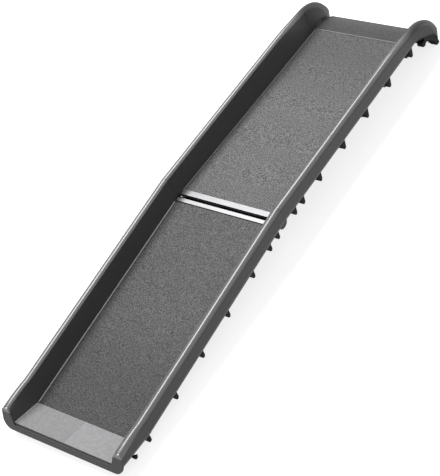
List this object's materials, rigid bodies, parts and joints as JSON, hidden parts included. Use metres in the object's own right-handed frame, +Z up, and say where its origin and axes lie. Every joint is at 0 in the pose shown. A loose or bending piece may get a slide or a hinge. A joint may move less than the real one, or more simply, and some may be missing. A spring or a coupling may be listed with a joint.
{
  "type": "folding pet ramp",
  "caption": "Folding pet ramp with raised side rails, gritty tread, upturned landing plate and hooked top end, hinged in the middle",
  "frame": {"origin": "centre of the bounding box at floor level, with the ramp open and resting on the floor", "axes": "+X across the ramp to the right seen from the toe, +Y along the ramp from the toe to the hooks, +Z up"},
  "size_m": [0.4, 1.6178, 0.142],
  "materials": {
    "moulded_plastic": "satin moulded plastic with a fine grain",
    "tread_grit": "coarse sand-like grit",
    "lip_grit": "fine grit",
    "landing_pad": "pale mottled rubber",
    "bright_strip": "bright satin with fine lengthwise streaks",
    "hinge_steel": "plain plated steel",
    "black_rubber": "matt black rubber"
  },
  "bodies": {
    "lower_half": {"lower_shell": "moulded_plastic", "toe_end_cap": "moulded_plastic", "lower_tread": "tread_grit", "landing_pad_left": "landing_pad", "landing_pad_right": "landing_pad", "lower_edge_strip": "bright_strip", "lower_hinge_leaf": "hinge_steel", "lower_leaf_screws": "hinge_steel", "hinge_pin": "hinge_steel", "hinge_pin_caps": "hinge_steel", "lower_rib_grips": "black_rubber", "toe_rib_grip": "black_rubber"},
    "upper_half": {"upper_shell": "moulded_plastic", "upper_tread": "tread_grit", "lip_tread": "lip_grit", "upper_edge_strip": "bright_strip", "upper_hinge_leaf": "hinge_steel", "upper_leaf_screws": "hinge_steel", "upper_rib_grips": "black_rubber", "hook_pad_left": "black_rubber", "hook_pad_right": "black_rubber", "hook_foot_left": "black_rubber", "hook_foot_right": "black_rubber"}
  },
  "joints": [
    {"name": "middle_hinge", "type": "hinge", "parent": "lower_half", "child": "upper_half", "pos_m": [0, -0.02012, 0.06026], "axis": [-1, 0, 0], "range_deg": [0, 171]}
  ]
}
